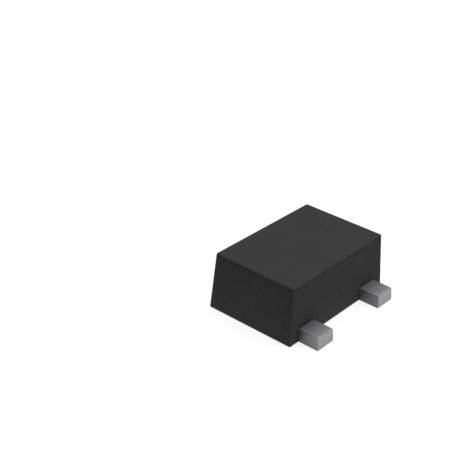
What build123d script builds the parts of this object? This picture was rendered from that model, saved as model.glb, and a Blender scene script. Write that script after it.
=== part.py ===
from build123d import *
import math
import os

os.makedirs("parts", exist_ok=True)

# Every size is in millimetres. X runs along the body, Y along the leads and Z up.
# The origin is in the middle of the package: halfway along it, across it and up it.

# Moulded body, measured at its underside
body_length = 1.20
body_width = 0.80
body_height = 0.485
end_draft = 3.75  # degrees that the two short faces lean in
side_draft = 3.0  # degrees that the two long faces lean in
body_edge = 0.01

# Leads, stamped from one strip and bent up once they are inside the body
strip_thickness = 0.1125
strip_edge = 0.018
tip_edge = 0.0175
outer_width = 0.19
centre_width = 0.29
outer_spacing = 0.79
lead_span = 1.15
heel_inset = 0.05
joggle_rise = 0.09
joggle_run = 0.10
joggle_radius = 0.08

# Flat inner ends of the leads
plate_corner = 0.015
paddle_width = 0.36
paddle_reach = 0.22
ear_length = 0.13
ear_span = 0.80
post_gap = 0.085
post_length = 0.165
post_wall = 0.09

# Chip and the layer that holds it to the paddle
attach_thickness = 0.008
attach_margin = 0.01  # that the film shows around the chip
die_length = 0.26
die_thickness = 0.10
pad_thickness = 0.003
base_pad_size = 0.07
emitter_pad_size = 0.09
pad_inset = 0.03

# Bond wires
wire_radius = 0.01
ball_radius = 0.0225
ball_height = 0.014
loop_rise = 0.075
loop_radius = 0.03
landing_radius = 0.05
stitch_thickness = 0.012
stitch_width = 0.04
stitch_length = 0.07
stitch_run = 0.02

# Heights that follow from the sizes above, the lowest of them the circuit board's
board = -body_height / 2
strip_middle = board + strip_thickness / 2
plate_base = board + joggle_rise
plate_top = plate_base + strip_thickness
die_base = plate_top + attach_thickness
die_top = die_base + die_thickness
pad_top = die_top + pad_thickness
landing = plate_top + stitch_thickness

# Widths that follow from them
top_length = body_length - 2 * body_height * math.tan(math.radians(end_draft))
top_width = body_width - 2 * body_height * math.tan(math.radians(side_draft))
attach_length = die_length + 2 * attach_margin

# Distances from the middle, along Y, of the two bends and of the flat inner ends
heel = body_width / 2 - heel_inset
joggle_end = heel - joggle_run
bend_length = joggle_radius * math.tan(math.atan2(joggle_rise, joggle_run) / 2)
plate_edge = joggle_end - bend_length

# The posts fill the room between the paddle and the body's ends
post_inner = paddle_width / 2 + post_gap
post_outer = body_length / 2 - post_wall
post_x = (post_inner + post_outer) / 2
post_y = plate_edge - post_length / 2


def strip(x, side, width):
    """Adds one lead's strip, from its tip to the flat inside the body, to the part being built.

    side is -1 or 1, the way that the tip points along Y.
    """
    tip = side * lead_span / 2
    with BuildLine(Plane.YZ.offset(x)) as middle_line:
        FilletPolyline(
            (tip, strip_middle),
            (side * heel, strip_middle),
            (side * joggle_end, strip_middle + joggle_rise),
            (side * (plate_edge - plate_corner), strip_middle + joggle_rise),
            radius=joggle_radius,
        )
    with BuildSketch(Plane.XZ.offset(-tip)) as section:
        with Locations((x, strip_middle)):
            Rectangle(width, strip_thickness)
        fillet(section.vertices().group_by(Axis.Y)[-1], radius=strip_edge)
    sweep(sections=section.sketch, path=middle_line.line)


def round_tip(lead, side):
    """Rounds the upper edge of a lead's end face, which the stamping press draws down."""
    end_face = lead.faces().sort_by(Axis.Y)[0 if side < 0 else -1]
    fillet(end_face.edges().filter_by(Axis.X).sort_by(Axis.Z)[-1], radius=tip_edge)


def finish(built, name):
    """Names a finished piece and writes its file."""
    built.part.label = name
    export_step(built.part, f"parts/{name}.step")
    return built.part


# Collector lead, one stamping with the paddle that carries the chip
with BuildPart() as collector_lead:
    strip(0, 1, centre_width)
    with BuildSketch(Plane.XY.offset(plate_base)) as paddle_outline:
        with Locations((0, (plate_edge - paddle_reach) / 2)):
            Rectangle(paddle_width, plate_edge + paddle_reach)
        with Locations((0, plate_edge - ear_length / 2)):
            Rectangle(ear_span, ear_length)
        fillet(paddle_outline.vertices(), radius=plate_corner)
    extrude(amount=strip_thickness)
    round_tip(collector_lead, 1)
inner_pieces = [finish(collector_lead, "collector_lead")]

# Base and emitter leads, each with a flat post that takes a bond wire
for name, x_side in (("base_lead", -1), ("emitter_lead", 1)):
    with BuildPart() as outer_lead:
        strip(x_side * outer_spacing / 2, -1, outer_width)
        with BuildSketch(Plane.XY.offset(plate_base)) as post_outline:
            with Locations((x_side * post_x, -post_y)):
                Rectangle(post_outer - post_inner, post_length)
            fillet(post_outline.vertices(), radius=plate_corner)
        extrude(amount=strip_thickness)
        round_tip(outer_lead, -1)
    inner_pieces.append(finish(outer_lead, name))

# Film of solder or adhesive under the chip
with BuildPart() as die_attach:
    with BuildSketch(Plane.XY.offset(plate_top)):
        Rectangle(attach_length, attach_length)
    extrude(amount=attach_thickness)
inner_pieces.append(finish(die_attach, "die_attach"))

# Chip, whose underside is the collector
with BuildPart() as silicon_die:
    with BuildSketch(Plane.XY.offset(die_base)):
        Rectangle(die_length, die_length)
    extrude(amount=die_thickness)
inner_pieces.append(finish(silicon_die, "silicon_die"))

# Metal pads in two corners of the chip's top, each with the wire that runs to its post
for name, x_side, pad_size in (("base", -1, base_pad_size), ("emitter", 1, emitter_pad_size)):
    pad_offset = die_length / 2 - pad_inset - pad_size / 2
    pad_place = Vector(x_side * pad_offset, -x_side * pad_offset, 0)
    with BuildPart() as pad:
        with BuildSketch(Plane.XY.offset(die_top)):
            with Locations(pad_place):
                Rectangle(pad_size, pad_size)
        extrude(amount=pad_thickness)
    inner_pieces.append(finish(pad, f"{name}_pad"))

    # The wire lies in the upright plane through the middles of the pad and of the post.
    to_post = Vector(x_side * post_x, -post_y, 0) - pad_place
    reach = to_post.length
    away = to_post.normalized()
    stitch_place = pad_place + to_post
    stitch_turn = math.degrees(math.atan2(away.Y, away.X))
    with BuildPart() as bond_wire:
        with BuildLine(Plane(origin=pad_place, x_dir=away, z_dir=away.cross(Vector(0, 0, 1)))) as loop:
            FilletPolyline(
                (0, pad_top + ball_height / 2),
                (0, pad_top + loop_rise),
                (reach, landing),
                (reach + stitch_run, landing),
                radius=(loop_radius, landing_radius),
            )
        with BuildSketch(Plane.XY.offset(pad_top + ball_height / 2)) as wire_section:
            with Locations(pad_place):
                Circle(wire_radius)
        sweep(sections=wire_section.sketch, path=loop.line)
        # Ball that the wire starts from
        with BuildSketch(Plane.XY.offset(pad_top)):
            with Locations(pad_place):
                Circle(ball_radius)
        extrude(amount=ball_height)
        # End of the wire, pressed flat on to the post
        with BuildSketch(Plane.XY.offset(plate_top)):
            with Locations(stitch_place):
                SlotOverall(stitch_length, stitch_width, rotation=stitch_turn)
        extrude(amount=stitch_thickness)
    inner_pieces.append(finish(bond_wire, f"{name}_bond_wire"))

# Body, moulded around everything else, with room for each piece that it holds
with BuildPart() as mold_body:
    with BuildSketch(Plane.XY.offset(board)):
        Rectangle(body_length, body_width)
    with BuildSketch(Plane.XY.offset(board + body_height)):
        Rectangle(top_length, top_width)
    loft()
    fillet(mold_body.edges(), radius=body_edge)
    add(inner_pieces, mode=Mode.SUBTRACT)
finish(mold_body, "mold_body")
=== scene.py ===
# %% [markdown]
# # A three-lead transistor, a millimetre long
#
# The real object is a grain of black epoxy, moulded around a chip, with three flat tinned leads that
# lie level with its underside. It is so small that its finish is all fine grain: the mould's spark
# eroded skin, the matt crystals of the tin, and the torn metal where each lead was cut from its strip.
#
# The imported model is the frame, and every piece made here stands in for a node of it.

# %% Load the frame
import math

import bmesh
import bpy
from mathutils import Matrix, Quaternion, Vector


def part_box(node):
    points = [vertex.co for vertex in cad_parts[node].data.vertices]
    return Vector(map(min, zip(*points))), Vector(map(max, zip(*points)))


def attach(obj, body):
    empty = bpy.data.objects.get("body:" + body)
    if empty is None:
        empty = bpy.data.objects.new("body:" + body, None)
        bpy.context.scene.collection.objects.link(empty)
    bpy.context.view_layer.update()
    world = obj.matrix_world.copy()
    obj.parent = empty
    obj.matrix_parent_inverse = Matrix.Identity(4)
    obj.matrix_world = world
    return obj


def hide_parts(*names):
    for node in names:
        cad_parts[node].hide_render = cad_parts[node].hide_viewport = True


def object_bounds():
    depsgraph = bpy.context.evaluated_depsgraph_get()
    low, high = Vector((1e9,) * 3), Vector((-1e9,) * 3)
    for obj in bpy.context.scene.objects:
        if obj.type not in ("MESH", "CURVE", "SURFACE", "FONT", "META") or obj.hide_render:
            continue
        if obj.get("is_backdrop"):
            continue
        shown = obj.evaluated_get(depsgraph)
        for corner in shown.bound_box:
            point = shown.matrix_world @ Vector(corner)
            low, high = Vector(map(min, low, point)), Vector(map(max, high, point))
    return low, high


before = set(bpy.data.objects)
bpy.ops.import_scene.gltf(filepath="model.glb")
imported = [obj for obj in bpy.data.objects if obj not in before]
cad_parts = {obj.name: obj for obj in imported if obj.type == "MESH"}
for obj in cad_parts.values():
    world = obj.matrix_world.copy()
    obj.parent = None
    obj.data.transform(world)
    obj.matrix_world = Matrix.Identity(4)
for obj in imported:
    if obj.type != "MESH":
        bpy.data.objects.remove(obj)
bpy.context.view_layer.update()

print("nodes:", sorted(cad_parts))

# %% [markdown]
# ## A bench in millimetres
#
# Some of Blender's operators have limits that suit a house and not a crumb: merging, for one, won't
# go under a thousandth of a millimetre. So each piece is modelled on a bench where one unit is a
# millimetre, and is brought down to its true size when it is finished.

# %% Sizes that come from the frame
MM = 0.001
UP = Vector((0, 0, 1))

# How close two places on the bench count as one, in general and where a plane cuts a piece
TOUCH = 1e-5
CUT_TOUCH = 1e-6

# Faces across the rounding of an edge, where it shows well and where it is tiny
ROUND_STEPS = 6
SMALL_STEPS = 4


def short(vector):
    """The numbers of a vector, rounded for printing."""
    return [round(number, 4) for number in vector]


def bench_box(node):
    """The lowest and highest corners of a node of the frame, in millimetres."""
    low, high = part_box(node)
    return low / MM, high / MM


# How far the short and the long walls lean in, and the radius of the body's edges
END_DRAFT = math.radians(3.75)
SIDE_DRAFT = math.radians(3.0)
BODY_EDGE = 0.01

body_low, body_high = bench_box("mold_body")
collector_low, collector_high = bench_box("collector_lead")
BOARD = body_low.z
PLATE_TOP = collector_high.z
body_height = body_high.z - BOARD


def sharp_width(rounded, draft):
    """The width that a moulding has at the board before its edges are rounded."""
    return rounded + 2 * BODY_EDGE * (math.tan(draft) + 1 / math.cos(draft) - 1)


BODY_LENGTH = sharp_width(body_high.x - body_low.x, END_DRAFT)
BODY_WIDTH = sharp_width(body_high.y - body_low.y, SIDE_DRAFT)
print("board plane and top of the inner plates at", short((BOARD, PLATE_TOP)))
print("body", short((BODY_LENGTH, BODY_WIDTH, body_height)))

# %% Helpers for selecting
NEARLY = 0.999  # the share of a length that counts as all of it


def deselect():
    """Deselects every object, so that an operator acts on none but the next one."""
    bpy.ops.object.select_all(action="DESELECT")


def only(piece):
    """Makes one object the selected and the active one."""
    deselect()
    piece.select_set(True)
    bpy.context.view_layer.objects.active = piece


def edit(piece=None):
    """Goes into edit mode, on a piece if one is given and else on the one just added."""
    if piece:
        only(piece)
    bpy.ops.object.mode_set(mode="EDIT")


def leave():
    """Goes back to object mode."""
    bpy.ops.object.mode_set(mode="OBJECT")


def choose(kind, test):
    """Selects the faces, edges or corners of the mesh in edit mode that pass a test, and no others."""
    bpy.ops.mesh.select_mode(type=kind)
    bpy.ops.mesh.select_all(action="DESELECT")
    bench = bmesh.from_edit_mesh(bpy.context.edit_object.data)
    bench.normal_update()
    for part in {"FACE": bench.faces, "EDGE": bench.edges, "VERT": bench.verts}[kind]:
        if test(part):
            part.select = True
    bench.select_flush_mode()
    bmesh.update_edit_mesh(bpy.context.edit_object.data)


def pull(move):
    """Extrudes what is selected in edit mode by a vector."""
    bpy.ops.mesh.extrude_region_move(TRANSFORM_OT_translate={"value": move})


def middle(edge):
    """The middle of an edge."""
    return (edge.verts[0].co + edge.verts[1].co) / 2


def runs_up(edge):
    """True where an edge runs along Z."""
    along = edge.verts[1].co - edge.verts[0].co
    return abs(along.z) > NEARLY * along.length


def points(face, way):
    """True where a face points along a direction."""
    return face.normal.dot(way) > NEARLY


# %% Helpers for shaping


def block(name, low, high):
    """Adds a block between two corners, the start of a piece."""
    deselect()
    bpy.ops.mesh.primitive_cube_add(size=1, location=(low + high) / 2, scale=high - low)
    bpy.context.object.name = name
    bpy.ops.object.transform_apply()
    return bpy.context.object


def round_off(kind, test, radius, steps=ROUND_STEPS):
    """Rounds the edges or corners of the mesh in edit mode that pass a test."""
    choose(kind, test)
    affected = {"EDGE": "EDGES", "VERT": "VERTICES"}[kind]
    bpy.ops.mesh.bevel(offset=radius, segments=steps, affect=affected)


def round_upright_edges(piece, radius, steps=ROUND_STEPS):
    """Rounds the edges of a piece that run along Z."""
    edit(piece)
    round_off("EDGE", runs_up, radius, steps)
    leave()


def step_top(inset, rise):
    """Insets the top of the mesh in edit mode, and raises or lowers what is left by a step."""
    choose("FACE", lambda f: points(f, UP))
    bpy.ops.mesh.inset(thickness=inset, depth=0)
    pull(UP * rise)


# %% Helpers for modifiers and for finishing a piece
SMOOTH_UNDER = math.radians(35)


def apply_modifier(piece, kind, **settings):
    """Adds a modifier with its settings and applies it."""
    only(piece)
    bpy.ops.object.modifier_add(type=kind)
    modifier = piece.modifiers[-1]
    for name, value in settings.items():
        setattr(modifier, name, value)
    bpy.ops.object.modifier_apply(modifier=modifier.name)


def join(piece, addition):
    """Makes one closed piece of two that overlap or touch."""
    apply_modifier(piece, "BOOLEAN", operation="UNION", solver="EXACT", object=addition)
    bpy.data.objects.remove(addition)


def finish_piece(piece):
    """Turns the faces outwards, smooths the roundings, and brings the piece down to its true size."""
    edit(piece)
    bpy.ops.mesh.select_all(action="SELECT")
    bpy.ops.mesh.remove_doubles(threshold=TOUCH)
    bpy.ops.mesh.normals_make_consistent(inside=False)
    leave()
    bpy.ops.object.shade_smooth_by_angle(angle=SMOOTH_UNDER)
    # At full weight the large faces decide the shading and stay flat beside their roundings
    apply_modifier(piece, "WEIGHTED_NORMAL", keep_sharp=True, weight=100)
    piece.scale = (MM, MM, MM)
    bpy.ops.object.transform_apply()
    check = bmesh.new()
    check.from_mesh(piece.data)
    open_edges = sum(not edge.is_manifold for edge in check.edges)
    volume = check.calc_volume() / MM**3
    check.free()
    print(piece.name, len(piece.data.polygons), "faces", open_edges, "open edges", round(volume, 6), "mm3")


# %% [markdown]
# ## The camera
#
# The photograph was taken from above one corner. The camera's place, turn and lens are those that put
# the package's edges where it shows them. The object stands off centre in the frame, and the camera
# is turned for that, with no shift.

# %% Place the camera
CAMERA_PLACE = Vector((-5.604, -3.995, 4.1605)) * MM
CAMERA_AZIMUTH = math.radians(-49.90)
CAMERA_ELEVATION = math.radians(29.12)
CAMERA_ROLL = math.radians(2.08)
CAMERA_LENS = 79.5
NEAREST_SEEN = 0.1
FARTHEST_SEEN = 1000


def direction(azimuth, elevation):
    """The direction from the object towards an azimuth, counted from the leads' side, and an elevation."""
    level = math.cos(elevation)
    return Vector((math.sin(azimuth) * level, -math.cos(azimuth) * level, math.sin(elevation)))


camera_data = bpy.data.cameras.new("camera")
camera_data.lens = CAMERA_LENS
camera_data.clip_start = NEAREST_SEEN * MM
camera_data.clip_end = FARTHEST_SEEN * MM
camera = bpy.data.objects.new("camera", camera_data)
bpy.context.scene.collection.objects.link(camera)
bpy.context.scene.camera = camera
camera.location = CAMERA_PLACE
camera.rotation_mode = "QUATERNION"
looking = -direction(CAMERA_AZIMUTH, CAMERA_ELEVATION)
camera.rotation_quaternion = looking.to_track_quat("-Z", "Y") @ Quaternion((0, 0, 1), CAMERA_ROLL)
print("camera", [round(c / MM, 3) for c in camera.location], "mm from the object's middle")

# %% [markdown]
# ## Leads
#
# Each lead is stamped from a flat strip. The punch rounds the edges that it enters, here the upper
# ones, and leaves the lower ones crisp. The strip lies on the board outside the body, bends up inside
# it, and ends in a flat plate: a post for a bond wire, or the paddle under the chip.
#
# A strip like that is drawn the way it was made: its section is extruded, spun through each bend and
# extruded again. A bevelled curve would give the bends too, but not an end face that can be worked on.

# %% Sizes of the strip
STRIP_EDGE = 0.018
LOWER_EDGE = 0.0015
LOWER_EDGE_STEPS = 2
TIP_EDGE = 0.0175
BEND_RADIUS = 0.08
JOGGLE_RISE = 0.09
JOGGLE_RUN = 0.10
HEEL_INSET = 0.05
PLATE_CORNER = 0.015

thickness = PLATE_TOP - BOARD - JOGGLE_RISE
strip_middle = BOARD + thickness / 2
bend_angle = math.atan2(JOGGLE_RISE, JOGGLE_RUN)
bend_length = BEND_RADIUS * math.tan(bend_angle / 2)
ramp_length = math.hypot(JOGGLE_RISE, JOGGLE_RUN) - 2 * bend_length
tip = collector_high.y
heel = BODY_WIDTH / 2 - HEEL_INSET
plate_edge = heel - JOGGLE_RUN - bend_length
print("strip thickness", round(thickness, 4), "bend of", round(math.degrees(bend_angle), 1), "degrees")

# %% A strip from its tip to its flat inner end


def strip(name, x, side, width):
    """Models a lead's strip, whose tip points along side times Y, up to where its plate begins."""
    deselect()
    end_place = (x, side * tip, strip_middle)
    bpy.ops.mesh.primitive_plane_add(size=1, location=end_place, rotation=(math.pi / 2, 0, 0))
    lead = bpy.context.object
    lead.name = name
    lead.scale = (width, thickness, 1)
    bpy.ops.object.transform_apply()
    edit()
    round_off("VERT", lambda v: v.co.z > strip_middle, STRIP_EDGE)
    round_off("VERT", lambda v: v.co.z < BOARD + LOWER_EDGE, LOWER_EDGE, LOWER_EDGE_STEPS)

    # Spin turns clockwise when its axis points at the viewer, so here it points along side times X
    inward = Vector((0, -side, 0))
    sloping = Vector((0, -side * math.cos(bend_angle), math.sin(bend_angle)))
    bend_start = heel + bend_length
    choose("FACE", lambda f: True)
    pull(inward * (tip - bend_start))
    first_centre = (x, side * bend_start, strip_middle + BEND_RADIUS)
    bpy.ops.mesh.spin(steps=ROUND_STEPS, angle=bend_angle, center=first_centre, axis=(side, 0, 0))
    pull(sloping * ramp_length)
    second_centre = (x, side * plate_edge, strip_middle + JOGGLE_RISE - BEND_RADIUS)
    bpy.ops.mesh.spin(steps=ROUND_STEPS, angle=bend_angle, center=second_centre, axis=(-side, 0, 0))
    pull(inward * PLATE_CORNER)

    # The upper edges round the end face, which the cutting tool draws down
    upper = BOARD + thickness - STRIP_EDGE
    at_tip = side * tip
    round_off("EDGE", lambda e: abs(middle(e).y - at_tip) < TOUCH and middle(e).z > upper, TIP_EDGE)
    leave()
    return lead


# %% [markdown]
# ### Posts and paddle
#
# The plates are wider than the strips that carry them. Each is a block with rounded corners, which a
# boolean joins to its strip. The paddle has two ears, made by cutting the block across and pulling
# out the sides of the end that has them.

# %% Base and emitter leads
POST_LENGTH = 0.165
OUTER_WIDTH = 0.19
OUTER_SPACING = 0.79

leads = {}
for name, x_side in (("base", -1), ("emitter", 1)):
    low, high = bench_box(name + "_lead")
    lead = strip(name + "_terminal", x_side * OUTER_SPACING / 2, -1, OUTER_WIDTH)
    post = block(
        "post",
        Vector((low.x, -plate_edge, PLATE_TOP - thickness)),
        Vector((high.x, -plate_edge + POST_LENGTH, PLATE_TOP)),
    )
    round_upright_edges(post, PLATE_CORNER)
    join(lead, post)
    leads[name + "_lead"] = lead
    print(lead.name, short(lead.dimensions), "beside", short(high - low))

# %% Collector lead with its paddle
CENTRE_WIDTH = 0.29
PADDLE_WIDTH = 0.36
EAR_LENGTH = 0.13

collector = strip("collector_terminal", 0, 1, CENTRE_WIDTH)
paddle = block(
    "paddle",
    Vector((-PADDLE_WIDTH / 2, collector_low.y, PLATE_TOP - thickness)),
    Vector((PADDLE_WIDTH / 2, plate_edge, PLATE_TOP)),
)
edit(paddle)
bpy.ops.mesh.select_all(action="SELECT")
ear_line = plate_edge - EAR_LENGTH
bpy.ops.mesh.bisect(plane_co=(0, ear_line, 0), plane_no=(0, 1, 0), threshold=CUT_TOUCH)
for x_side in (-1, 1):
    ear_way = Vector((x_side, 0, 0))
    choose("FACE", lambda f: points(f, ear_way) and f.calc_center_median().y > ear_line)
    pull(ear_way * (collector_high.x - PADDLE_WIDTH / 2))
leave()
round_upright_edges(paddle, PLATE_CORNER)
join(collector, paddle)
leads["collector_lead"] = collector
print(collector.name, short(collector.dimensions))

# %% [markdown]
# ## Chip, film and contacts
#
# Under the black skin a square chip lies on the paddle in a thin film of solder. Sawing leaves a
# chip with a low step round its top, where the wide first cut stopped and the narrow second one
# went through, so the top is inset and pulled up out of that step. The film has run out a little
# round the chip, and surface tension has rounded its outline and its rim.

# %% Film and chip
FILM_CORNER = 0.02
FILM_RIM = 0.005
SAW_STEP = 0.004
SAW_WIDTH = 0.008

film_low, film_high = bench_box("die_attach")
film = block("chip_film", film_low, film_high)
round_upright_edges(film, FILM_CORNER)
edit(film)
round_off("EDGE", lambda e: middle(e).z > film_high.z - TOUCH, FILM_RIM, SMALL_STEPS)
leave()

chip_low, chip_high = bench_box("silicon_die")
chip = block("chip", chip_low, chip_high - UP * SAW_STEP)
edit(chip)
step_top(SAW_WIDTH, SAW_STEP)
leave()
print("film", short(film.dimensions), "and chip", short(chip.dimensions))

# %% [markdown]
# The contacts are squares of aluminium. A glassy coat covers their rim and leaves their middle bare
# and a little lower, which the inset top shows.

# %% Contacts
CONTACT_CORNER = 0.012
COATED_RIM = 0.007
COAT_STEP = 0.0008

contacts = {}
for name in ("base", "emitter"):
    low, high = bench_box(name + "_pad")
    contact = block(name + "_contact", low, high)
    round_upright_edges(contact, CONTACT_CORNER)
    edit(contact)
    step_top(COATED_RIM, -COAT_STEP)
    leave()
    contacts[name + "_pad"] = contact
    print(contact.name, short(contact.dimensions))

# %% [markdown]
# ## Bond wires
#
# A gold wire a fiftieth of a millimetre thick joins each contact to its post. The bonding tool melts
# the wire's end to a ball, squashes the ball on the contact, draws the wire up and over, presses it
# flat on the post and tears it off. The squashed ball keeps the shape of the tool's mouth: a disc
# with a smaller cone on it. The far end is a thin wedge.
#
# The wire is drawn like a lead, by extruding and spinning its section, and the ball and the wedge
# are joined to it.

# %% Ball and wedge
WIRE_RADIUS = 0.01
BALL_RADIUS = 0.0225
BALL_HEIGHT = 0.014
BALL_SIDES = 32
DISC_SHARE = 0.62  # of the ball's height
DISC_ROUNDING = 0.003
CONE_INSET = 0.004
CONE_TAPER = 0.8
WEDGE_LENGTH = 0.07
WEDGE_WIDTH = 0.04
WEDGE_HEIGHT = 0.012
WEDGE_END = 0.004
WEDGE_STEPS = 8
BARELY_APART = 0.98


def ball(centre):
    """Models a squashed ball that stands on the contact's bare middle."""
    disc_height = BALL_HEIGHT * DISC_SHARE + COAT_STEP
    disc_middle = centre + UP * (disc_height / 2 - COAT_STEP)
    deselect()
    bpy.ops.mesh.primitive_cylinder_add(
        vertices=BALL_SIDES, radius=BALL_RADIUS, depth=disc_height, location=disc_middle
    )
    squashed = bpy.context.object
    bpy.ops.object.transform_apply()
    edit()
    round_off("EDGE", lambda e: not runs_up(e), DISC_ROUNDING, SMALL_STEPS)
    step_top(CONE_INSET, BALL_HEIGHT * (1 - DISC_SHARE))
    bpy.ops.transform.resize(value=(CONE_TAPER, CONE_TAPER, 1), center_override=centre)
    leave()
    return squashed


def wedge(centre, away):
    """Models the pressed end of a wire on its post, which thins out along away."""
    half = Vector((WEDGE_LENGTH, WEDGE_WIDTH, 0)) / 2
    pressed = block("wedge", -half, half + UP * WEDGE_HEIGHT)
    # The two roundings at each end stop just short of each other, so that neither is cut back
    round_upright_edges(pressed, BARELY_APART * WEDGE_WIDTH / 2, steps=WEDGE_STEPS)
    edit(pressed)
    bpy.ops.mesh.select_all(action="SELECT")
    slope = Vector((WEDGE_HEIGHT - WEDGE_END, 0, WEDGE_LENGTH)).normalized()
    start = (-half.x, 0, WEDGE_HEIGHT)
    bpy.ops.mesh.bisect(
        plane_co=start, plane_no=slope, use_fill=True, clear_outer=True, threshold=CUT_TOUCH
    )
    leave()
    pressed.location = centre
    pressed.rotation_euler.z = math.atan2(away.y, away.x)
    bpy.ops.object.transform_apply()
    return pressed


# %% A wire from its contact to its post
WIRE_SIDES = 20
LOOP_RISE = 0.075
LOOP_RADIUS = 0.03
LOOP_STEPS = 10
LANDING_RADIUS = 0.05
LANDING_STEPS = 6
WIRE_OVERRUN = 0.02
FLATTENED = 0.4  # of the wire's thickness


def bond_wire(name, contact_place, post_place):
    """Models a wire from a contact, up through a loop and down to its post."""
    away = (post_place - contact_place) * Vector((1, 1, 0))
    away.normalize()
    loop_top = contact_place + UP * LOOP_RISE
    landing = post_place + UP * WEDGE_HEIGHT
    sloping = (landing - loop_top).normalized()
    first_turn = UP.angle(sloping)
    second_turn = sloping.angle(away)
    first_run = LOOP_RADIUS * math.tan(first_turn / 2)
    second_run = LANDING_RADIUS * math.tan(second_turn / 2)
    neck = contact_place + UP * BALL_HEIGHT / 2

    deselect()
    bpy.ops.mesh.primitive_circle_add(
        vertices=WIRE_SIDES, radius=WIRE_RADIUS, fill_type="NGON", location=neck
    )
    wire = bpy.context.object
    wire.name = name
    bpy.ops.object.transform_apply()
    edit()
    choose("FACE", lambda f: True)
    pull(UP * (LOOP_RISE - BALL_HEIGHT / 2 - first_run))
    first_centre = loop_top - UP * first_run + away * LOOP_RADIUS
    bpy.ops.mesh.spin(steps=LOOP_STEPS, angle=first_turn, center=first_centre, axis=away.cross(UP))
    pull(sloping * ((landing - loop_top).length - first_run - second_run))
    inner_side = (away - sloping * away.dot(sloping)).normalized()
    second_centre = landing - sloping * second_run + inner_side * LANDING_RADIUS
    bpy.ops.mesh.spin(
        steps=LANDING_STEPS, angle=second_turn, center=second_centre, axis=UP.cross(away)
    )
    pull(away * (WIRE_OVERRUN - second_run))
    # The last section is flattened into the wedge
    bpy.ops.transform.resize(value=(1, 1, FLATTENED), center_override=landing)
    bpy.ops.transform.translate(value=UP * -WEDGE_HEIGHT / 2)
    leave()
    join(wire, ball(contact_place))
    join(wire, wedge(post_place, away))
    print(wire.name, "runs down at", round(math.degrees(first_turn) - 90, 1), "degrees from level")
    return wire


# %% Both wires
wires = {}
for name in ("base", "emitter"):
    contact_low, contact_high = bench_box(name + "_pad")
    lead_low, lead_high = bench_box(name + "_lead")
    contact_middle = (contact_low + contact_high) / 2
    post_middle = (lead_low + lead_high) / 2
    wires[name + "_bond_wire"] = bond_wire(
        name + "_wire",
        Vector((contact_middle.x, contact_middle.y, contact_high.z)),
        Vector((post_middle.x, POST_LENGTH / 2 - plate_edge, PLATE_TOP)),
    )

# %% [markdown]
# ## Body
#
# The body is one moulding. Its four walls lean in so that it leaves the mould, and every edge has the
# small rounding that a spark eroded mould gives. It starts as a block whose top is drawn in, and whose
# edges are bevelled all at once, so that three roundings meet in a ball at each corner. The resin was
# pressed in round everything else, so booleans with those pieces cut the room that they take in it.

# %% The moulding
body = block(
    "moulding",
    Vector((-BODY_LENGTH / 2, -BODY_WIDTH / 2, BOARD)),
    Vector((BODY_LENGTH / 2, BODY_WIDTH / 2, body_high.z)),
)
edit(body)
choose("FACE", lambda f: points(f, UP))
# The top is scaled to what the leaning walls leave of it
drawn_in = (
    1 - 2 * body_height * math.tan(END_DRAFT) / BODY_LENGTH,
    1 - 2 * body_height * math.tan(SIDE_DRAFT) / BODY_WIDTH,
    1,
)
bpy.ops.transform.resize(value=drawn_in, center_override=(0, 0, body_high.z))
round_off("EDGE", lambda e: True, BODY_EDGE)
leave()
print("moulding", short(body.dimensions), "beside", short(body_high - body_low))

# %% Room for the pieces that the moulding holds
held = {**leads, "die_attach": film, "silicon_die": chip, **contacts, **wires}
for piece in held.values():
    apply_modifier(body, "BOOLEAN", operation="DIFFERENCE", solver="EXACT", object=piece)
print("moulding with room for", len(held), "pieces:", len(body.data.polygons), "faces")

for node, piece in {"mold_body": body, **held}.items():
    finish_piece(piece)
    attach(piece, "root")
    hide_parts(node)

# %% [markdown]
# # Finishes
#
# Each finish is a material made of nodes. Patterns are laid out on Object coordinates turned into
# millimetres, so a grain size in a material is a size that could be measured under a microscope.
# What several finishes share is built once, as a node group with named inputs, and each material
# gives it its own values.

# %% Helpers for nodes
# How far apart nodes stand in the editor, and how many to a column
COLUMN_WIDTH = 240
ROW_HEIGHT = 300
ROWS = 4


def node(tree, kind, inputs=None, **settings):
    """Adds a shader node, with settings first and then inputs, each a value or another node's output."""
    made = tree.nodes.new("ShaderNode" + kind)
    column, row = divmod(len(tree.nodes), ROWS)
    made.location = (COLUMN_WIDTH * column, -ROW_HEIGHT * row)
    for name, value in settings.items():
        setattr(made, name, value)
    for name, value in (inputs or {}).items():
        if isinstance(value, bpy.types.NodeSocket):
            tree.links.new(value, made.inputs[name])
        else:
            made.inputs[name].default_value = value
    return made


def maths(tree, operation, first, second=0.0):
    """Works out one number from two."""
    return node(tree, "Math", {0: first, 1: second}, operation=operation).outputs[0]


def vector_maths(tree, operation, first, second=(0, 0, 0)):
    """Works out one vector from two."""
    return node(tree, "VectorMath", {0: first, 1: second}, operation=operation).outputs["Vector"]


def scaled(tree, vector, factor):
    """Multiplies a vector by a number."""
    return node(tree, "VectorMath", {0: vector, "Scale": factor}, operation="SCALE").outputs["Vector"]


def axes(tree, vector):
    """Splits a vector, and gives its X, Y and Z by name."""
    return node(tree, "SeparateXYZ", {"Vector": vector}).outputs


def spread(tree, value, low, high, to_low=0.0, to_high=1.0, kind="SMOOTHSTEP"):
    """Turns a value between low and high into one between to_low and to_high, which it can't pass."""
    inputs = {"Value": value, "From Min": low, "From Max": high, "To Min": to_low, "To Max": to_high}
    return node(tree, "MapRange", inputs, interpolation_type=kind).outputs["Result"]


# %% Helpers for colours


def blend(tree, share, first, second):
    """Mixes two colours, by the share that the second has."""
    # A Mix node has sockets for each kind of value: those for colours are inputs 6 and 7 and output 2
    return node(tree, "Mix", {0: share, 6: first, 7: second}, data_type="RGBA").outputs[2]


def shaded(tree, colour, *factors):
    """Makes a colour lighter or darker by one factor after another."""
    if not isinstance(colour, bpy.types.NodeSocket):
        colour = colour[:3]
    for factor in factors:
        colour = scaled(tree, colour, factor)
    return colour


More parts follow.
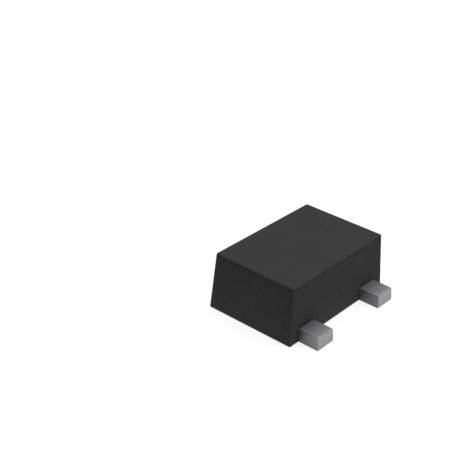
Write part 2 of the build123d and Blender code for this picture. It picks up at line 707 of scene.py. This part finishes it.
def toned(tree, mask, tone, kind="SMOOTHSTEP"):
    """Turns a mask into a factor for a colour: 1 where the mask is nothing, the tone where it is full."""
    return spread(tree, mask, 0.0, 1.0, 1.0, tone, kind)


def grey(value, warmth=0.0):
    """A grey as a colour, a little warmer or cooler."""
    return (value * (1 + warmth), value, value * (1 - warmth), 1)


# %% Helpers for groups and materials


def effect(name, inputs, output, output_kind="NodeSocketFloat"):
    """Starts a node group with named inputs and one output, and gives it with the sockets of both."""
    group = bpy.data.node_groups.new(name, "ShaderNodeTree")
    for socket, value in inputs.items():
        kind = "NodeSocketFloat" if isinstance(value, (int, float)) else "NodeSocketVector"
        group.interface.new_socket(name=socket, in_out="INPUT", socket_type=kind).default_value = value
    group.interface.new_socket(name=output, in_out="OUTPUT", socket_type=output_kind)
    given = group.nodes.new("NodeGroupInput").outputs
    gives = group.nodes.new("NodeGroupOutput").inputs
    print("effect", name, "with", ", ".join(inputs))
    return group, given, gives


def use(tree, group, place, **inputs):
    """Places a group in a material with its first input and others by name, and gives its output."""
    named = {name.replace("_", " ").title(): value for name, value in inputs.items()}
    return node(tree, "Group", {0: place, **named}, node_tree=group).outputs[0]


def start_material(name, **constants):
    """Starts a material, with what is the same all over set on its shader, and a place in millimetres."""
    material = bpy.data.materials.new(name)
    material.use_nodes = True
    tree = material.node_tree
    shader = tree.nodes["Principled BSDF"]
    for socket, value in constants.items():
        shader.inputs[socket.replace("_", " ")].default_value = value
    coordinates = node(tree, "TexCoord")
    scale = (1 / MM, 1 / MM, 1 / MM)
    place = node(tree, "Mapping", {"Vector": coordinates.outputs["Object"], "Scale": scale})
    return material, tree, place.outputs["Vector"]


def finish_material(material, colour, roughness, height, *pieces, depth):
    """Links the colour, the roughness and a bump of a depth in millimetres, and puts it on pieces."""
    tree = material.node_tree
    shader = tree.nodes["Principled BSDF"]
    tree.links.new(colour, shader.inputs["Base Color"])
    tree.links.new(roughness, shader.inputs["Roughness"])
    bump = node(tree, "Bump", {"Height": height, "Distance": depth * MM, "Strength": 1.0})
    tree.links.new(bump.outputs["Normal"], shader.inputs["Normal"])
    for piece in pieces:
        piece.data.materials.append(material)
    print("finish", material.name, "of", len(tree.nodes), "nodes")


# %% [markdown]
# ## Shared effects
#
# **Grain** is the small relief of a surface: the craters of a spark eroded mould, or the crystals of
# a plated skin. Soft noise gives the rise and fall, and rounded cells give the pits.

# %% Grain
NOWHERE = (0, 0, 0)

grain, given, gives = effect("grain", {"Place": NOWHERE, "Size": 0.01, "Pits": 0.5}, "Height")
per_mm = maths(grain, "DIVIDE", 1.0, given["Size"])
swells = node(grain, "TexNoise", {"Vector": given["Place"], "Scale": per_mm, "Roughness": 0.55})
cells = node(grain, "TexVoronoi", {"Vector": given["Place"], "Scale": per_mm}, feature="SMOOTH_F1")
pits = maths(grain, "MULTIPLY", cells.outputs["Distance"], given["Pits"])
grain.links.new(maths(grain, "ADD", swells.outputs["Fac"], pits), gives["Height"])

# %% [markdown]
# **Blotches** are soft patches that are a little lighter or darker, rougher or smoother. Flow marks
# in resin and the even greyness of tin, which is never quite even, are both of that kind.

# %% Blotches
LOW_NOISE = 0.28  # noise is seldom lower
HIGH_NOISE = 0.72  # and seldom higher

blotches, given, gives = effect(
    "blotches", {"Place": NOWHERE, "Size": 0.1, "Least": 0.9, "Most": 1.1}, "Factor"
)
per_mm = maths(blotches, "DIVIDE", 1.0, given["Size"])
patches = node(blotches, "TexNoise", {"Vector": given["Place"], "Scale": per_mm, "Roughness": 0.6})
factor = spread(blotches, patches.outputs["Fac"], LOW_NOISE, HIGH_NOISE, given["Least"], given["Most"])
blotches.links.new(factor, gives["Factor"])

# %% [markdown]
# **Drawn lines** run one way: the rolling lines of a strip, the marks of a saw, the drag of a punch.
# Stretching the place before it meets the noise draws the noise out into lines. The stretch is the
# share of a millimetre that still counts along each axis, so a small number makes long lines.

# %% Drawn lines
drawn_lines, given, gives = effect(
    "drawn lines", {"Place": NOWHERE, "Stretch": (1, 0.04, 1), "Spacing": 0.01}, "Height"
)
stretched = vector_maths(drawn_lines, "MULTIPLY", given["Place"], given["Stretch"])
per_mm = maths(drawn_lines, "DIVIDE", 1.0, given["Spacing"])
lines = node(drawn_lines, "TexNoise", {"Vector": stretched, "Scale": per_mm, "Roughness": 0.65})
drawn_lines.links.new(lines.outputs["Fac"], gives["Height"])

# %% [markdown]
# **Specks** are separate dots: grains of the glass powder that fills the resin, pits in the tin,
# chips along a sawn edge. Each cell of a Voronoi pattern has a random colour, and only the cells
# whose red is under the share that is wanted get a dot.

# %% Specks
SOFT_RIM = 1.4  # of a dot's size, where the dot has faded away

specks, given, gives = effect(
    "specks", {"Place": NOWHERE, "Spacing": 0.03, "Dot Size": 0.2, "Share": 0.4}, "Mask"
)
per_mm = maths(specks, "DIVIDE", 1.0, given["Spacing"])
cells = node(specks, "TexVoronoi", {"Vector": given["Place"], "Scale": per_mm})
edge_of_dot = maths(specks, "MULTIPLY", given["Dot Size"], SOFT_RIM)
dots = spread(specks, cells.outputs["Distance"], given["Dot Size"], edge_of_dot, 1.0, 0.0)
red = node(specks, "SeparateColor", {"Color": cells.outputs["Color"]}).outputs["Red"]
wanted = maths(specks, "LESS_THAN", red, given["Share"])
specks.links.new(maths(specks, "MULTIPLY", dots, wanted), gives["Mask"])

# %% [markdown]
# ** Walls** and **edges** find the places near edges: where the body gets painted shade and painted
# highlight, and where the chip is chipped. On a block with leaning walls that needs no picture of the
# mesh. The first gives the distance to the nearest wall along each axis. On the surface the least of
# the three is nothing, and the middle one is the way to the nearest edge, which the second turns into a
# mask.

# %% Walls
wall_inputs = {"Place": NOWHERE, "Middle": NOWHERE, "Half Size": (1, 1, 1), "Lean": NOWHERE}
walls, given, gives = effect("walls", wall_inputs, "Distances", "NodeSocketVector")
from_middle = vector_maths(walls, "SUBTRACT", given["Place"], given["Middle"])
drawn_back = scaled(walls, given["Lean"], axes(walls, from_middle)["Z"])
half_here = vector_maths(walls, "SUBTRACT", given["Half Size"], drawn_back)
outwards = vector_maths(walls, "ABSOLUTE", from_middle)
walls.links.new(vector_maths(walls, "SUBTRACT", half_here, outwards), gives["Distances"])

# %% Edges
edges, given, gives = effect("edges", {"Distances": NOWHERE, "Width": 0.01}, "Mask")
ways = axes(edges, given["Distances"])
nearer = maths(edges, "MINIMUM", ways["X"], ways["Y"])
farther = maths(edges, "MAXIMUM", ways["X"], ways["Y"])
to_edge = maths(edges, "MAXIMUM", nearer, maths(edges, "MINIMUM", farther, ways["Z"]))
edges.links.new(spread(edges, to_edge, 0.0, given["Width"], 1.0, 0.0), gives["Mask"])

# %% [markdown]
# ** Band** is a layer between two heights with soft limits, such as the painted shade just under the
# body's top or the silvered face of a plate. It is the product of two masks: one that comes in at the
# lower limit and one that goes out at the upper.

# %% Band
band, given, gives = effect("band", {"Place": NOWHERE, "Start": 0.0, "Stop": 0.1, "Softness": 0.01}, "Mask")
height = axes(band, given["Place"])["Z"]
over_start = maths(band, "DIVIDE", maths(band, "SUBTRACT", height, given["Start"]), given["Softness"])
under_stop = maths(band, "DIVIDE", maths(band, "SUBTRACT", given["Stop"], height), given["Softness"])
entered = spread(band, over_start, -1.0, 1.0)
not_left = spread(band, under_stop, -1.0, 1.0)
band.links.new(maths(band, "MULTIPLY", entered, not_left), gives["Mask"])

# %% [markdown]
# ** Lead fade** runs along a lead, from full at a start to nothing a reach farther out. It finds where
# the bare metal inside the body begins, and it paints shade on the lead beside the body, darkest at the
# root and gone at the tip. On the photographed leads the light grows evenly on the way out, so this
# fade is a straight one.

# %% Lead fade
lead_fade, given, gives = effect("lead_fade", {"Place": NOWHERE, "Start": 0.4, "Reach": 0.08}, "Mask")
along = axes(lead_fade, vector_maths(lead_fade, "ABSOLUTE", given["Place"]))["Y"]
past = maths(lead_fade, "DIVIDE", maths(lead_fade, "SUBTRACT", along, given["Start"]), given["Reach"])
lead_fade.links.new(spread(lead_fade, past, 0.0, 1.0, 1.0, 0.0, "LINEAR"), gives["Mask"])

# %% [markdown]
# ## Moulding compound
#
# The body is epoxy, filled with glass powder and blackened with soot. The mould, cut by sparks, gave
# it a dull skin of craters a hundredth of a millimetre across, too fine to see singly, which show as
# a faint even mottle. Here and there a glass grain lies just under the skin.

# %% Resin, flow and powder
EPOXY = grey(0.0420)
GLASS = grey(0.085, 0.03)
GLASS_SHOWS = 0.2

compound, tree, place = start_material("mould compound", Specular_IOR_Level=0.02)
mottle = use(tree, blotches, place, size=0.011, least=0.80, most=1.20)
flow = use(tree, blotches, place, size=0.26, least=0.975, most=1.025)
powder = use(tree, specks, place, spacing=0.035, dot_size=0.14, share=0.3)
resin = blend(tree, maths(tree, "MULTIPLY", powder, GLASS_SHOWS), EPOXY, GLASS)
print("resin so far:", len(tree.nodes), "nodes")

# %% [markdown]
# Painted shade and painted highlight go round the body's edges, in the resin's colour. The rim of the
# top and a narrow layer just below it get painted shade, and the rounded shoulder between them gets a
# painted highlight. The upright edges get a painted highlight where they turn into the long walls and
# painted shade where they turn into the end walls. Heights and distances find all of these.

# %% Painted shade and highlight round the top
# Painted shade on the top's rim and in a layer below it, and a painted highlight on the shoulder between
RIM_WIDTH = 0.022
PAINTED_RIM_SHADE_TONE = 0.84
TOP = body_high.z
ABOVE_ALL = TOP + 1.0
TOP_FACE = {"start": TOP - 0.002, "stop": ABOVE_ALL, "softness": 0.001}
PAINTED_SHADE_LAYER = {"start": TOP - 0.024, "stop": TOP - 0.010, "softness": 0.004}
PAINTED_LAYER_SHADE_TONE = 0.78
SHOULDER_LAYER = {"start": TOP - 0.0085, "stop": TOP - 0.0005, "softness": 0.0015}
PAINTED_SHOULDER_HIGHLIGHT = 1.22

half_size = Vector((
    (BODY_LENGTH - body_height * math.tan(END_DRAFT)) / 2,
    (BODY_WIDTH - body_height * math.tan(SIDE_DRAFT)) / 2,
    body_height / 2,
))
lean = (math.tan(END_DRAFT), math.tan(SIDE_DRAFT), 0)
distances = use(tree, walls, place, half_size=half_size, lean=lean)
rim = use(tree, edges, distances, width=RIM_WIDTH)
top_rim = maths(tree, "MULTIPLY", rim, use(tree, band, place, **TOP_FACE))
# Painted shade and painted highlight round the top
painted_rim_shade = toned(tree, top_rim, PAINTED_RIM_SHADE_TONE)
painted_layer_shade = toned(tree, use(tree, band, place, **PAINTED_SHADE_LAYER), PAINTED_LAYER_SHADE_TONE)
painted_shoulder_highlight = toned(tree, use(tree, band, place, **SHOULDER_LAYER), PAINTED_SHOULDER_HIGHLIGHT)
print("half the body's size halfway up:", short(half_size))

# %% [markdown]
# The distance to the long wall says which side of an upright edge a place is on, and picks one of
# two tones: a painted highlight on the long wall's side and painted shade on the end wall's side.
# Raising the tone to the power of the edge's mask brings it back to 1 away from the edge.

# %% Upright edges, with painted highlight and painted shade
ON_WALL = 0.002
OFF_WALL = 0.006
# A painted highlight where an upright edge turns into a long wall, painted shade where it turns into an end
# wall
PAINTED_EDGE_HIGHLIGHT = 1.14
PAINTED_EDGE_SHADE = 0.82

ways = axes(tree, distances)
to_upright = maths(tree, "MAXIMUM", ways["X"], ways["Y"])
upright = spread(tree, to_upright, 0.0, RIM_WIDTH, 1.0, 0.0)
# Painted highlight or painted shade, by the side of the upright edge
painted_light_tone = spread(tree, ways["Y"], ON_WALL, OFF_WALL, PAINTED_EDGE_HIGHLIGHT, PAINTED_EDGE_SHADE)
painted_upright_light = maths(tree, "POWER", painted_light_tone, upright)
print("upright edges fade over", RIM_WIDTH, "mm")

# %% Moulding compound
RIM_POLISH = 0.12

# Besides the resin's own mottle and flow, the factors paint shade and highlight near the edges
colour = shaded(tree, resin, mottle, flow, painted_rim_shade, painted_layer_shade, painted_shoulder_highlight, painted_upright_light)
dullness = use(tree, blotches, place, size=0.06, least=0.60, most=0.70)
roughness = maths(tree, "SUBTRACT", dullness, maths(tree, "MULTIPLY", rim, RIM_POLISH))
craters = use(tree, grain, place, size=0.012, pits=0.6)
finish_material(compound, colour, roughness, craters, body, depth=0.0016)

# %% [markdown]
# ## Matt tin
#
# The leads are a copper alloy strip, plated with matt tin. The plating is a crust of tiny crystals
# that follows the rolling lines of the strip under it. It is a metal, so its colour is the colour of
# its reflections, softened by a high roughness, and handling has left it some duller patches and
# pits. Painted shade darkens it at the body and thins out to the tip.
#
# Inside the body there is no tin: the strip is bare copper alloy, silvered on top where the chip and
# the wires land. A lead is one piece, so one finish holds both and changes just inside the wall.

# %% Metals of a lead, and where each begins
TIN = (0.378, 0.382, 0.396, 1)
TARNISH = (0.315, 0.317, 0.326, 1)
COPPER = (0.66, 0.38, 0.26, 1)
SILVER = (0.84, 0.83, 0.80, 1)
lead_root = BODY_WIDTH / 2 - thickness * math.tan(SIDE_DRAFT)
# Painted shade along each lead runs from the wall out to the tip
PAINTED_ROOT_SHADE_SPAN = {"start": lead_root, "reach": tip - lead_root}
INSIDE = {"start": heel, "reach": 0.01}
PLATE_FACE = {"start": PLATE_TOP - 0.004, "stop": ABOVE_ALL, "softness": 0.002}
# How dark the painted shade is at a lead's root
PAINTED_ROOT_SHADE_TONE = 0.57
PIT_TONE = 0.86
print("a lead stands", round(tip - lead_root, 4), "mm out of the wall")

# %% Matt tin
tin, tree, place = start_material("matt tin", Metallic=1.0)
cloudy = use(tree, blotches, place, size=0.05, least=0.0, most=0.35)
crystals = use(tree, blotches, place, size=0.010, least=0.94, most=1.06)
pitted = use(tree, specks, place, spacing=0.03, dot_size=0.18, share=0.3)
inside = use(tree, lead_fade, place, **INSIDE)
silvered = use(tree, band, place, **PLATE_FACE)
skin = blend(tree, inside, blend(tree, cloudy, TIN, TARNISH), blend(tree, silvered, COPPER, SILVER))
# Painted shade on the tin, darkest at the body and gone at the tip
painted_root_shade = toned(tree, use(tree, lead_fade, place, **PAINTED_ROOT_SHADE_SPAN), PAINTED_ROOT_SHADE_TONE, "LINEAR")
colour = shaded(tree, skin, crystals, painted_root_shade, toned(tree, pitted, PIT_TONE))
roughness = use(tree, blotches, place, size=0.03, least=0.62, most=0.70)
rolling = use(tree, drawn_lines, place, stretch=(1, 0.05, 1), spacing=0.012)
crust = use(tree, grain, place, size=0.009, pits=0.4)
relief = maths(tree, "ADD", crust, rolling)
finish_material(tin, colour, roughness, relief, *leads.values(), depth=0.0006)

# %% [markdown]
# ## Punched sides and cut ends
#
# A punch leaves two zones on a side: a burnished band where it entered, and below that the torn
# metal where the strip gave way. The lines of the drag run up and down. The sides were punched before
# the strip was plated, so they have tin on them, thin and dull, and their grey is darkened further by
# painted shade from the body beside them. The emitter's side gets more painted shade, for the shade
# between the leads.
#
# The ends were cut last, when the part left its frame. The cutter has smeared the tin down over the
# copper alloy, so little of its warmth shows, and the torn zone differs most by its roughness. Both
# finishes are the same but for their values, so one function makes them.

# %% Punched and cut faces
TEAR_SOFTNESS = 0.012
BETWEEN_LEADS = (0.20, 0.28)  # along X, between the collector's side and the emitter's
LINE_LEVELS = (0.3, 0.7)  # that drawn lines seldom leave
BURNISHED_ROUGHNESS = 0.56
TORN_ROUGHNESS = 0.66


def cut_metal(name, smeared, torn, burnished_share, emitter_painted_shade):
    """Makes the finish of a punched or cut face of the strip, with painted shade of its own on the emitter.
    """
    made, tree, place = start_material(name, Metallic=1.0)
    ways = axes(tree, place)
    ragged = use(tree, blotches, place, size=0.03, least=-TEAR_SOFTNESS, most=TEAR_SOFTNESS)
    line = BOARD + thickness * (1 - burnished_share)
    height = maths(tree, "ADD", ways["Z"], ragged)
    tear = spread(tree, height, line - TEAR_SOFTNESS, line + TEAR_SOFTNESS, 1.0, 0.0)
    drag = use(tree, drawn_lines, place, stretch=(1, 1, 0.06), spacing=0.011)
    torn_grain = use(tree, grain, place, size=0.014, pits=0.8)
    streaks = spread(tree, drag, *LINE_LEVELS, 0.97, 1.03)
    blotched = use(tree, blotches, place, size=0.04, least=0.96, most=1.04)
    # Painted shade along the lead, as on the tin
    painted_root_shade = toned(tree, use(tree, lead_fade, place, **PAINTED_ROOT_SHADE_SPAN), PAINTED_ROOT_SHADE_TONE, "LINEAR")
    # Painted shade on the emitter's faces, for the shade between the leads
    painted_light_tone = spread(tree, ways["X"], *BETWEEN_LEADS, 1.0, emitter_painted_shade)
    inside = use(tree, lead_fade, place, **INSIDE)
    metal = blend(tree, inside, blend(tree, tear, smeared, torn), COPPER)
    colour = shaded(tree, metal, streaks, blotched, painted_root_shade, painted_light_tone)
    rough = spread(tree, tear, 0.0, 1.0, BURNISHED_ROUGHNESS, TORN_ROUGHNESS)
    relief = maths(tree, "ADD", drag, maths(tree, "MULTIPLY", torn_grain, tear))
    finish_material(made, colour, rough, relief, depth=0.0003)
    return made


# %% Their two finishes
# The punched sides' greys are thin dull tin, darkened further by painted shade from the body beside them
THIN_TIN_AND_SHADE = grey(0.283)
TORN_TIN_AND_SHADE = grey(0.298)
SMEARED_END = (0.347, 0.348, 0.342, 1)
TORN_END = (0.347, 0.347, 0.343, 1)

punched_side = cut_metal("punched side", THIN_TIN_AND_SHADE, TORN_TIN_AND_SHADE, burnished_share=0.35, emitter_painted_shade=0.78)
cut_end = cut_metal("cut end", SMEARED_END, TORN_END, burnished_share=0.4, emitter_painted_shade=1.0)

# %% [markdown]
# A lead has all three finishes. Its faces are shared out by the way they point: sideways is punched,
# along the strip is cut, and the rest is tin. The cutter's smear wraps over the end's rounded upper
# edge, so that edge's faces count as cut where they point more outwards than up.

# %% Share out the leads' faces
SIDEWAYS = 0.95
ENDWAYS = 0.7

for lead in leads.values():
    lead.data.materials.append(punched_side)
    lead.data.materials.append(cut_end)
    count = [0, 0, 0]
    for face in lead.data.polygons:
        sideways = abs(face.normal.x) > SIDEWAYS
        endways = abs(face.normal.y) > ENDWAYS
        face.material_index = 1 if sideways else 2 if endways else 0
        count[face.material_index] += 1
    print(lead.name, "faces of tin, sides and ends:", count)

# %% [markdown]
# ## What the body hides
#
# The pieces inside never show in a photograph of the whole part, but each has a finish of its own.
# The chip lies in a film of solder, which froze dull and grained. Blotches make its greyness and its
# dullness uneven, and coarse grain stands for the crystals.

# %% Solder film
SOLDER = grey(0.42, 0.01)

solder, tree, place = start_material("solder film", Metallic=1.0)
greyness = use(tree, blotches, place, size=0.03, least=0.8, most=1.15)
colour = shaded(tree, SOLDER, greyness)
roughness = use(tree, blotches, place, size=0.05, least=0.38, most=0.6)
frozen = use(tree, grain, place, size=0.02, pits=0.6)
finish_material(solder, colour, roughness, frozen, film, depth=0.001)

# %% [markdown]
# The chip's top is polished and glassed over, in thin layers that tint it where the base and the
# emitter were let in through square openings. **Window** is such a square, seen from above. The sides
# carry the level lines of the saw, and the sawn edges are chipped.

# %% Window
WINDOW_SOFTNESS = 0.001

window, given, gives = effect("window", {"Place": NOWHERE, "Middle": NOWHERE, "Half Width": 0.05}, "Mask")
from_middle = vector_maths(window, "SUBTRACT", given["Place"], given["Middle"])
sides = axes(window, vector_maths(window, "ABSOLUTE", from_middle))
beyond = maths(window, "SUBTRACT", maths(window, "MAXIMUM", sides["X"], sides["Y"]), given["Half Width"])
window.links.new(spread(window, beyond, -WINDOW_SOFTNESS, WINDOW_SOFTNESS, 1.0, 0.0), gives["Mask"])

# %% Top of the chip
SILICON = (0.20, 0.21, 0.235, 1)
BASE_TINT = (0.17, 0.20, 0.30, 1)
EMITTER_TINT = (0.29, 0.22, 0.26, 1)
TOP_LEVELS = (chip_high.z - 0.002, chip_high.z - 0.001)  # where its finish begins and is full

silicon, tree, place = start_material("sawn silicon", Metallic=1.0)
height = axes(tree, place)["Z"]
on_top = spread(tree, height, *TOP_LEVELS)
base_window = use(tree, window, place, half_width=0.115)
emitter_window = use(tree, window, place, middle=(0.05, -0.05, 0), half_width=0.055)
top_colour = blend(tree, emitter_window, blend(tree, base_window, SILICON, BASE_TINT), EMITTER_TINT)
print("chip's top at", round(chip_high.z, 4))

# %% Sides and edges of the chip
SAWN = grey(0.19, -0.02)
FRESH_CHIP = grey(0.35)
FRESH_SHARE = 0.6
SAWN_ROUGHNESS = 0.45
POLISHED_ROUGHNESS = 0.12
CHIPPED_ROUGHER = 0.3

saw_marks = use(tree, drawn_lines, place, stretch=(0.05, 0.05, 1), spacing=0.006)
chip_middle = (chip_low + chip_high) / 2
chip_half = (chip_high - chip_low) / 2
chip_walls = use(tree, walls, place, middle=chip_middle, half_size=chip_half)
at_edge = use(tree, edges, chip_walls, width=0.006)
chips = use(tree, specks, place, spacing=0.008, dot_size=0.4, share=0.4)
chipped = maths(tree, "MULTIPLY", chips, at_edge)
sawn_colour = shaded(tree, SAWN, spread(tree, saw_marks, *LINE_LEVELS, 0.85, 1.15))
clean = blend(tree, on_top, sawn_colour, top_colour)
colour = blend(tree, maths(tree, "MULTIPLY", chipped, FRESH_SHARE), clean, FRESH_CHIP)
polish = spread(tree, on_top, 0.0, 1.0, SAWN_ROUGHNESS, POLISHED_ROUGHNESS)
roughness = maths(tree, "ADD", polish, maths(tree, "MULTIPLY", chipped, CHIPPED_ROUGHER))
relief = maths(tree, "MULTIPLY", saw_marks, maths(tree, "SUBTRACT", 1.0, on_top))
finish_material(silicon, colour, roughness, relief, chip, depth=0.0006)

# %% [markdown]
# The contacts are aluminium, which ripples a little as it is laid down. A test needle has scratched
# them: drawn lines give the scratches where they rise over a threshold.

# %% Aluminium contacts
ALUMINIUM = grey(0.74, 0.005)
SCRATCH_STARTS = 0.62
SCRATCH_FULL = 0.7
SCRATCH_TONE = 0.75

aluminium, tree, place = start_material("contact aluminium", Metallic=1.0)
ripple = use(tree, blotches, place, size=0.008, least=0.9, most=1.08)
needle_mark = use(tree, drawn_lines, place, stretch=(0.15, 1, 1), spacing=0.02)
scratch = spread(tree, needle_mark, SCRATCH_STARTS, SCRATCH_FULL, 1.0, SCRATCH_TONE)
colour = shaded(tree, ALUMINIUM, ripple, scratch)
roughness = use(tree, blotches, place, size=0.01, least=0.22, most=0.38)
crystal_skin = use(tree, grain, place, size=0.004, pits=0.3)
relief = maths(tree, "ADD", crystal_skin, scratch)
finish_material(aluminium, colour, roughness, relief, *contacts.values(), depth=0.0003)

# %% [markdown]
# The wires are gold, redder in some places than in others, with the faint skin that the drawing die
# left.

# %% Gold wire
GOLD = (0.84, 0.60, 0.23, 1)
RED_GOLD = (0.80, 0.54, 0.19, 1)

gold, tree, place = start_material("gold wire", Metallic=1.0)
redness = use(tree, blotches, place, size=0.03, least=0.0, most=1.0)
die_marks = use(tree, blotches, place, size=0.005, least=0.93, most=1.05)
colour = shaded(tree, blend(tree, redness, GOLD, RED_GOLD), die_marks)
roughness = use(tree, blotches, place, size=0.012, least=0.2, most=0.34)
drawn_skin = use(tree, grain, place, size=0.005, pits=0.3)
finish_material(gold, colour, roughness, drawn_skin, *wires.values(), depth=0.0003)

# %% [markdown]
# # Floor and light
#
# The photograph's ground is plain white. A floor so bright under these lamps would throw too much
# light up at the part, so the floor keeps a mid grey colour for the light that it passes on, and glows
# for the camera and in reflections only. Near the part that glow leaves room for a faint shadow, and
# a few millimetres out it is full white, so that low views have no horizon.
#
# Close round the part a pool of the floor glows for all rays, as a white ground throws light back at
# the foot of the walls. The camera sees the stronger of the two glows, which is never the pool.

# %% Floor
FLOOR_SIZE = 400
FLOOR_GLOW = 0.74
WHITE_STARTS = 2.0
WHITE_FULL = 8.0
POOL_GLOW = 0.70
POOL_MIDDLE = (-0.4, 0.1, 0)
POOL_START = 0.6
POOL_END = 1.9
FAR_GLOW = 0.06

deselect()
bpy.ops.mesh.primitive_plane_add(size=FLOOR_SIZE * MM, location=(0, 0, BOARD * MM))
floor = bpy.context.object
floor.name = "floor"
bpy.ops.object.transform_apply()
floor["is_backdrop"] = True
print("floor", [round(side / MM) for side in floor.dimensions[:2]], "mm across")

# %% Floor's finish
plain = {"Roughness": 0.9, "Specular_IOR_Level": 0.0, "Emission_Color": (1, 1, 1, 1)}
paper, tree, place = start_material("white floor", **plain)
shader = tree.nodes["Principled BSDF"]
fibres = use(tree, blotches, place, size=0.6, least=0.345, most=0.355)
tree.links.new(fibres, shader.inputs["Base Color"])
light_path = node(tree, "LightPath").outputs
seen = maths(tree, "MAXIMUM", light_path["Is Camera Ray"], light_path["Is Glossy Ray"])
from_pool = vector_maths(tree, "SUBTRACT", place, POOL_MIDDLE)
distance = node(tree, "VectorMath", {0: from_pool}, operation="LENGTH").outputs["Value"]
pool = spread(tree, distance, POOL_START, POOL_END, POOL_GLOW, FAR_GLOW)
shown = spread(tree, distance, WHITE_STARTS, WHITE_FULL, FLOOR_GLOW, 1.0)
glow = maths(tree, "MAXIMUM", maths(tree, "MULTIPLY", seen, shown), pool)
tree.links.new(glow, shader.inputs["Emission Strength"])
floor.data.materials.append(paper)
print("finish", paper.name, "of", len(tree.nodes), "nodes")

# %% [markdown]
# The world is white to the camera, as the far floor is, and a dim even grey to all else.

# %% World
AMBIENT = 0.02

world = bpy.data.worlds.new("studio")
bpy.context.scene.world = world
world.use_nodes = True
tree = world.node_tree
background = tree.nodes["Background"]
background.inputs["Color"].default_value = (1, 1, 1, 1)
light_path = node(tree, "LightPath").outputs
strength = spread(tree, light_path["Is Camera Ray"], 0.0, 1.0, AMBIENT, 1.0)
tree.links.new(strength, background.inputs["Strength"])
print("world", world.name, "lights the part at", AMBIENT)

# %% [markdown]
# The photograph's light comes from nearly straight above and is broad enough to leave no hard
# shadow. One large soft lamp hangs there, and a smaller one low at the front lifts the leads' ends.
# A lamp's radiance, which is how bright its face looks, doesn't change with its size, so the lamps
# are set by that.

# %% Lamps
LAMP_DISTANCE = 9.0


def softbox(name, azimuth, elevation, size, radiance):
    """An area lamp that looks at the object from an azimuth and an elevation in degrees."""
    data = bpy.data.lights.new(name, "AREA")
    data.shape = "SQUARE"
    data.size = size * MM
    data.energy = radiance * math.pi * (size * MM) ** 2
    lamp = bpy.data.objects.new(name, data)
    bpy.context.scene.collection.objects.link(lamp)
    towards = direction(math.radians(azimuth), math.radians(elevation))
    lamp.location = towards * LAMP_DISTANCE * MM
    lamp.rotation_mode = "QUATERNION"
    lamp.rotation_quaternion = towards.to_track_quat("Z", "Y")
    lamp.visible_camera = False
    print(name, "radiance", radiance, "at", azimuth, elevation)


softbox("overhead lamp", azimuth=110, elevation=87, size=17, radiance=1.82)
softbox("front lamp", azimuth=25, elevation=20, size=9, radiance=1.1)
bpy.context.scene.view_settings.view_transform = "Standard"

# %% [markdown]
# ## Last lines
#
# The bounds of everything that renders, floor aside, are worked out last.

# %% Sizes and the end
low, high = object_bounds()
